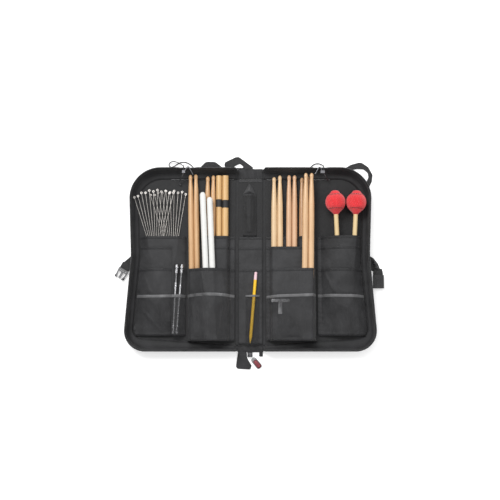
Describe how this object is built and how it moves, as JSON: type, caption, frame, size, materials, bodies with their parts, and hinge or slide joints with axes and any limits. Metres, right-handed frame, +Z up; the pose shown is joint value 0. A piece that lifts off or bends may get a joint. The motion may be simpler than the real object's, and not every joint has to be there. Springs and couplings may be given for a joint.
{
  "type": "drum stick bag",
  "caption": "Zipped nylon stick bag lying open: two padded leaves on a narrow spine, stepped pockets filled with sticks, brushes and mallets, webbing loops and a buckle.",
  "frame": {"origin": "on the ground under the middle of the spine", "axes": "+X to the right leaf, +Y to the stick tips (top edge), +Z up from the ground"},
  "size_m": [0.6513, 0.524, 0.0527],
  "materials": {
    "bag_nylon": "woven, matt",
    "lining_nylon": "fine weave, slight sheen",
    "pocket_nylon": "fine weave",
    "pocket_mesh": "fine mesh with an elastic hem",
    "webbing": "ribbed webbing",
    "zip_tape": "herringbone tape",
    "zip_coil": "nylon coil",
    "buckle_grey": "moulded",
    "buckle_black": "moulded",
    "slider_metal": "black paint",
    "pull_metal": "plated",
    "pull_insert": "soft moulded",
    "cord": "braided",
    "hook_wire": "bent wire with a small clip",
    "hickory": "satin lacquer",
    "maple": "satin lacquer",
    "oak": "satin lacquer",
    "white_paint": "white lacquer",
    "dowel_birch": "bundled dowels",
    "band_black": "matt band",
    "wire_steel": "drawn wire",
    "grip_black": "matt tube",
    "chrome_plate": "polished",
    "red_yarn": "wound yarn",
    "pencil_yellow": "gloss paint",
    "eraser_pink": "matt"
  },
  "bodies": {
    "spine": {"spine_outer_shell": "bag_nylon", "spine_lining": "lining_nylon", "spine_end_gussets": "bag_nylon", "spine_tool_pocket": "pocket_nylon", "spine_flat_pockets": "pocket_nylon", "pencil_mesh_sleeve": "pocket_mesh", "zip_end_tabs": "webbing", "zip_slider": "slider_metal"},
    "left_leaf": {"left_outer_shell": "bag_nylon", "left_lining": "lining_nylon", "left_gusset_wall": "bag_nylon", "left_zip_tape": "zip_tape", "left_zip_coil": "zip_coil", "left_buckle_webbing": "webbing", "left_long_pocket": "pocket_nylon", "left_middle_pocket": "pocket_nylon", "left_short_pocket": "pocket_nylon", "left_mesh_pocket": "pocket_mesh", "left_hang_cord": "cord", "left_hang_hook": "hook_wire", "stick_pair_a": "hickory", "stick_pair_b": "maple", "white_stick_pair": "white_paint", "bundle_rods": "dowel_birch", "bundle_rod_bands": "band_black", "brush_a_wires": "wire_steel", "brush_b_wires": "wire_steel", "brush_handles": "grip_black"},
    "right_leaf": {"right_outer_shell": "bag_nylon", "right_lining": "lining_nylon", "right_gusset_wall": "bag_nylon", "right_zip_tape": "zip_tape", "right_zip_coil": "zip_coil", "right_buckle_webbing": "webbing", "right_long_pocket": "pocket_nylon", "right_middle_pocket": "pocket_nylon", "right_short_pocket": "pocket_nylon", "right_mesh_pocket": "pocket_mesh", "right_hang_cord": "cord", "right_hang_hook": "hook_wire", "stick_pair_c": "maple", "stick_pair_d": "oak", "stick_pair_e": "oak", "stick_pair_f": "hickory", "mallet_left_handle": "maple", "mallet_left_head": "red_yarn", "mallet_right_handle": "maple", "mallet_right_head": "red_yarn"},
    "zip_pull": {"zip_pull_frame": "pull_metal", "zip_pull_insert": "pull_insert"},
    "grab_loop": {"spine_grab_loop": "webbing"},
    "left_carry_handle": {"left_handle": "webbing"},
    "right_carry_loop": {"right_handle_loop": "webbing"},
    "left_plug": {"left_buckle_plug": "buckle_grey"},
    "right_socket": {"right_buckle_socket": "buckle_black"},
    "pencil": {"pencil_shaft": "pencil_yellow", "pencil_eraser": "eraser_pink"},
    "key": {"drum_key": "chrome_plate"},
    "beater_a": {"beater_rod_a": "chrome_plate"},
    "beater_b": {"beater_rod_b": "chrome_plate"}
  },
  "joints": [
    {"name": "left_fold", "type": "hinge", "parent": "spine", "child": "left_leaf", "pos_m": [-0.033, 0, 0.002], "axis": [0, 1, 0], "range_deg": [0, 90]},
    {"name": "right_fold", "type": "hinge", "parent": "spine", "child": "right_leaf", "pos_m": [0.033, 0, 0.002], "axis": [0, -1, 0], "range_deg": [0, 90]},
    {"name": "grab_loop_lift", "type": "hinge", "parent": "spine", "child": "grab_loop", "pos_m": [0, 0.2257, 0.0013], "axis": [1, 0, 0], "range_deg": [0, 75]},
    {"name": "left_handle_lift", "type": "hinge", "parent": "left_leaf", "child": "left_carry_handle", "pos_m": [-0.1, 0.2027, 0.0013], "axis": [1, 0, 0], "range_deg": [0, 8]},
    {"name": "right_loop_lift", "type": "hinge", "parent": "right_leaf", "child": "right_carry_loop", "pos_m": [0.25775, 0.18905, 0.0013], "axis": [0.7071, -0.7071, 0], "range_deg": [0, 8]},
    {"name": "zip_pull_lift", "type": "hinge", "parent": "spine", "child": "zip_pull", "pos_m": [0.00447, -0.2383, 0.0025], "axis": [-0.7727, -0.6347, 0], "range_deg": [0, 80]},
    {"name": "left_plug_lift", "type": "hinge", "parent": "left_leaf", "child": "left_plug", "pos_m": [-0.30417, -0.01762, 0.0009], "axis": [-0.874, 0.486, 0], "range_deg": [0, 45]},
    {"name": "right_socket_lift", "type": "hinge", "parent": "right_leaf", "child": "right_socket", "pos_m": [0.31, -0.0302, 0.0009], "axis": [-1, 0, 0], "range_deg": [0, 45]},
    {"name": "pencil_slide", "type": "slide", "parent": "spine", "child": "pencil", "axis": [0.0811, 0.9967, 0], "range_m": [0, 0.118]},
    {"name": "drum_key_slide", "type": "slide", "parent": "right_leaf", "child": "key", "axis": [0, 1, 0], "range_m": [0, 0.06]},
    {"name": "beater_a_slide", "type": "slide", "parent": "left_leaf", "child": "beater_a", "axis": [0.0473, 0.9989, 0], "range_m": [0, 0.1]},
    {"name": "beater_b_slide", "type": "slide", "parent": "left_leaf", "child": "beater_b", "axis": [0.0705, 0.9975, 0], "range_m": [0, 0.1]}
  ]
}
